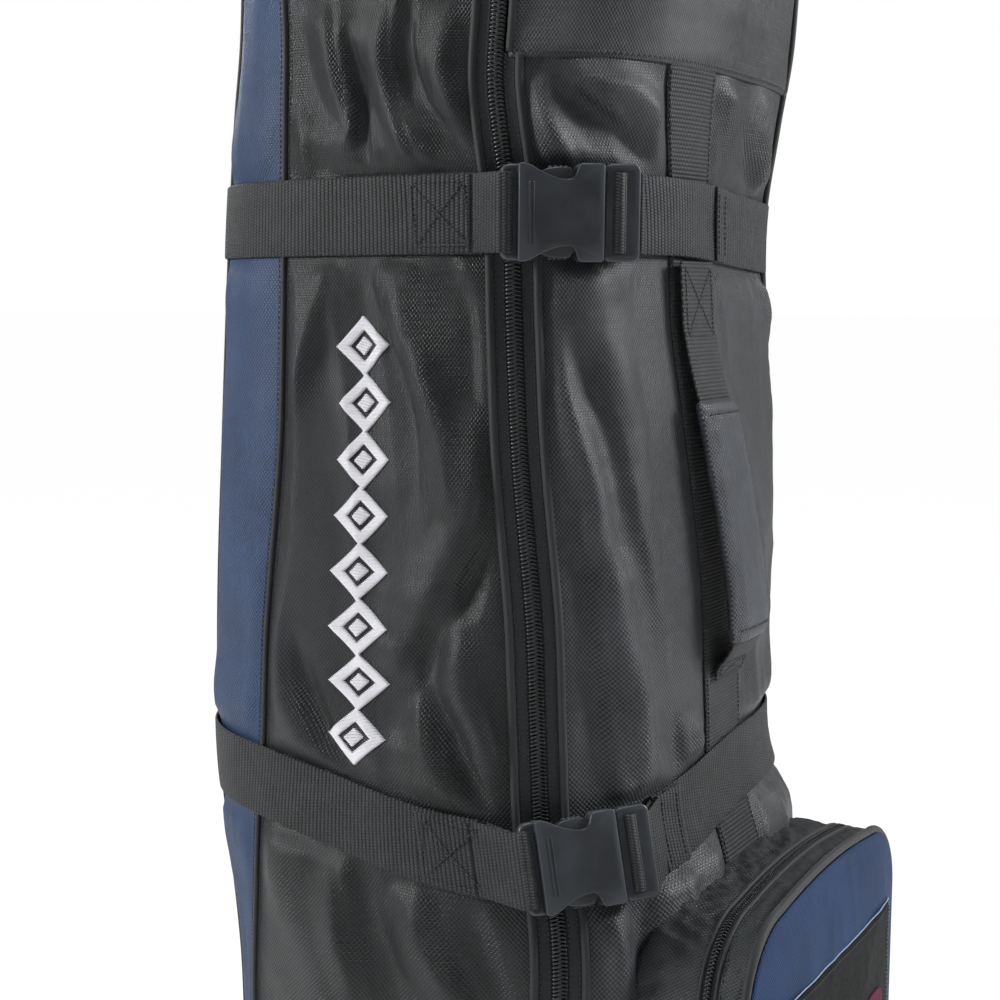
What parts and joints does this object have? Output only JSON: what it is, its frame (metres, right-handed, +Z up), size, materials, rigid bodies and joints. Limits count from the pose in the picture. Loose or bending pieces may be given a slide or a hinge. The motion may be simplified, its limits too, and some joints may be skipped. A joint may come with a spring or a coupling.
{
  "type": "golf travel case",
  "caption": "Tall soft-sided golf travel case on a wheeled base, with buckled straps, corner zips, a shoe pocket, a side grab handle and a domed hood that tips forward.",
  "frame": {"origin": "centre of the base on the floor, under the middle runner", "axes": "+Z up along the case, -Y towards the front with the shoe pocket and the carry handle, +X to the right of someone who looks at the front"},
  "size_m": [0.3955, 0.4725, 1.3303],
  "materials": {
    "black_fabric": "dobby-woven nylon with a fine dot weave and a soft sheen",
    "blue_fabric": "dobby-woven nylon with a fine dot weave",
    "trim": "corded fabric piping",
    "zip_tape": "woven zip tape",
    "zip_coil": "moulded nylon coil",
    "webbing": "ribbed woven webbing",
    "buckle_plastic": "fine-textured moulding",
    "base_plastic": "textured moulding",
    "foam_lining": "foam-backed lining cloth",
    "base_board": "matte sheet",
    "wheel_hub": "moulded",
    "wheel_tyre": "smooth tread",
    "black_metal": "black coated"
  },
  "bodies": {
    "case": {"back_panel": "black_fabric", "base_board": "base_board", "base_tray": "base_plastic", "body_lining": "foam_lining", "front_panel": "black_fabric", "handle_strip": "webbing", "hood_zip": "zip_coil", "lower_buckle_socket": "buckle_plastic", "lower_strap": "webbing", "lower_strap_tail": "webbing", "piping_left": "trim", "piping_right": "trim", "pocket_gusset_inner": "black_fabric", "pocket_zip_coil": "zip_coil", "runner_centre": "base_plastic", "runner_left": "base_plastic", "runner_right": "base_plastic", "side_panel_left": "black_fabric", "side_panel_right": "black_fabric", "side_stripe_left": "blue_fabric", "side_stripe_right": "blue_fabric", "upper_buckle_socket": "buckle_plastic", "upper_strap": "webbing", "upper_strap_tail": "webbing", "wheel_housing_left": "base_plastic", "wheel_housing_right": "base_plastic", "wheel_left_axle": "black_metal", "wheel_right_axle": "black_metal", "zip_left_coil": "zip_coil", "zip_left_front_tape": "zip_tape", "zip_left_rear_tape": "zip_tape", "zip_right_coil": "zip_coil", "zip_right_front_tape": "zip_tape", "zip_right_rear_tape": "zip_tape"},
    "hood": {"hood_crown": "black_fabric", "hood_front": "black_fabric", "hood_lining": "foam_lining"},
    "top_handle": {"top_handle": "webbing"},
    "pocket_flap": {"pocket_face_border": "blue_fabric", "pocket_face_centre": "black_fabric", "pocket_gusset_outer": "black_fabric", "pocket_piping": "trim"},
    "carry_handle": {"handle_webbing": "webbing", "handle_grip": "black_fabric"},
    "wheel_left": {"wheel_left_hub": "wheel_hub", "wheel_left_tyre": "wheel_tyre"},
    "wheel_right": {"wheel_right_hub": "wheel_hub", "wheel_right_tyre": "wheel_tyre"},
    "main_slider": {"main_zip_slider": "black_metal"},
    "main_pull": {"main_zip_pull": "black_metal"},
    "right_slider": {"right_zip_slider": "black_metal"},
    "right_pull": {"right_zip_pull": "black_metal"},
    "pocket_slider": {"pocket_zip_slider": "black_metal"},
    "pocket_pull": {"pocket_zip_pull": "black_metal"},
    "upper_plug": {"upper_buckle_plug": "buckle_plastic"},
    "upper_prong_top": {"upper_buckle_prong_top": "buckle_plastic"},
    "upper_prong_bottom": {"upper_buckle_prong_bottom": "buckle_plastic"},
    "lower_plug": {"lower_buckle_plug": "buckle_plastic"},
    "lower_prong_top": {"lower_buckle_prong_top": "buckle_plastic"},
    "lower_prong_bottom": {"lower_buckle_prong_bottom": "buckle_plastic"}
  },
  "joints": [
    {"name": "hood_hinge", "type": "hinge", "parent": "case", "child": "hood", "pos_m": [0, -0.1955, 0.966], "axis": [1, 0, 0], "range_deg": [0, 90]},
    {"name": "top_handle_swing", "type": "hinge", "parent": "hood", "child": "top_handle", "pos_m": [0, -0.024, 1.2968], "axis": [1, 0, 0], "range_deg": [-50, 50]},
    {"name": "pocket_flap_hinge", "type": "hinge", "parent": "case", "child": "pocket_flap", "pos_m": [0, -0.2405, 0.1235], "axis": [1, 0, 0], "range_deg": [0, 70]},
    {"name": "carry_handle_pull", "type": "slide", "parent": "case", "child": "carry_handle", "axis": [0, -1, 0], "range_m": [0, 0.022]},
    {"name": "upper_plug_slide", "type": "slide", "parent": "case", "child": "upper_plug", "axis": [0.6675, -0.7446, 0], "range_m": [0, 0.04]},
    {"name": "upper_prong_top_bend", "type": "hinge", "parent": "upper_plug", "child": "upper_prong_top", "pos_m": [-0.14334, -0.1581, 0.88606], "axis": [-0.7442, -0.6671, -0.0337], "range_deg": [0, 8], "stiffness_Nm_per_rad": 0.6},
    {"name": "upper_prong_bottom_bend", "type": "hinge", "parent": "upper_plug", "child": "upper_prong_bottom", "pos_m": [-0.14251, -0.15736, 0.85308], "axis": [0.7442, 0.6671, 0.0337], "range_deg": [0, 8], "stiffness_Nm_per_rad": 0.6},
    {"name": "lower_plug_slide", "type": "slide", "parent": "case", "child": "lower_plug", "axis": [0.7374, -0.6726, 0.0623], "range_m": [0, 0.04]},
    {"name": "lower_prong_top_bend", "type": "hinge", "parent": "lower_plug", "child": "lower_prong_top", "pos_m": [-0.14322, -0.17008, 0.48259], "axis": [-0.6598, -0.6976, 0.2793], "range_deg": [0, 8], "stiffness_Nm_per_rad": 0.6},
    {"name": "lower_prong_bottom_bend", "type": "hinge", "parent": "lower_plug", "child": "lower_prong_bottom", "pos_m": [-0.14799, -0.17824, 0.45097], "axis": [0.6598, 0.6976, -0.2793], "range_deg": [0, 8], "stiffness_Nm_per_rad": 0.6},
    {"name": "main_slider_slide", "type": "slide", "parent": "case", "child": "main_slider", "axis": [-0.0101, 0.0332, -0.9994], "range_m": [0, 0.09]},
    {"name": "main_pull_hinge", "type": "hinge", "parent": "main_slider", "child": "main_pull", "pos_m": [-0.18103, -0.10953, 1.10004], "axis": [-0.2462, 0.9692, 0], "range_deg": [0, 150]},
    {"name": "right_slider_slide", "type": "slide", "parent": "case", "child": "right_slider", "axis": [-0.0018, 0.0408, -0.9992], "range_m": [0, 0.09]},
    {"name": "right_pull_hinge", "type": "hinge", "parent": "right_slider", "child": "right_pull", "pos_m": [0.11245, -0.19286, 1.09972], "axis": [-0.9183, -0.3959, 0], "range_deg": [0, 150]},
    {"name": "pocket_slider_slide", "type": "slide", "parent": "case", "child": "pocket_slider", "axis": [0, 0, 1], "range_m": [0, 0.1]},
    {"name": "pocket_pull_hinge", "type": "hinge", "parent": "pocket_slider", "child": "pocket_pull", "pos_m": [-0.1516, -0.236, 0.19], "axis": [0, 1, 0], "range_deg": [0, 150]},
    {"name": "wheel_left_spin", "type": "hinge", "parent": "case", "child": "wheel_left", "pos_m": [-0.118, 0.156, 0.046], "axis": [1, 0, 0], "continuous": true},
    {"name": "wheel_right_spin", "type": "hinge", "parent": "case", "child": "wheel_right", "pos_m": [0.118, 0.156, 0.046], "axis": [1, 0, 0], "continuous": true}
  ]
}
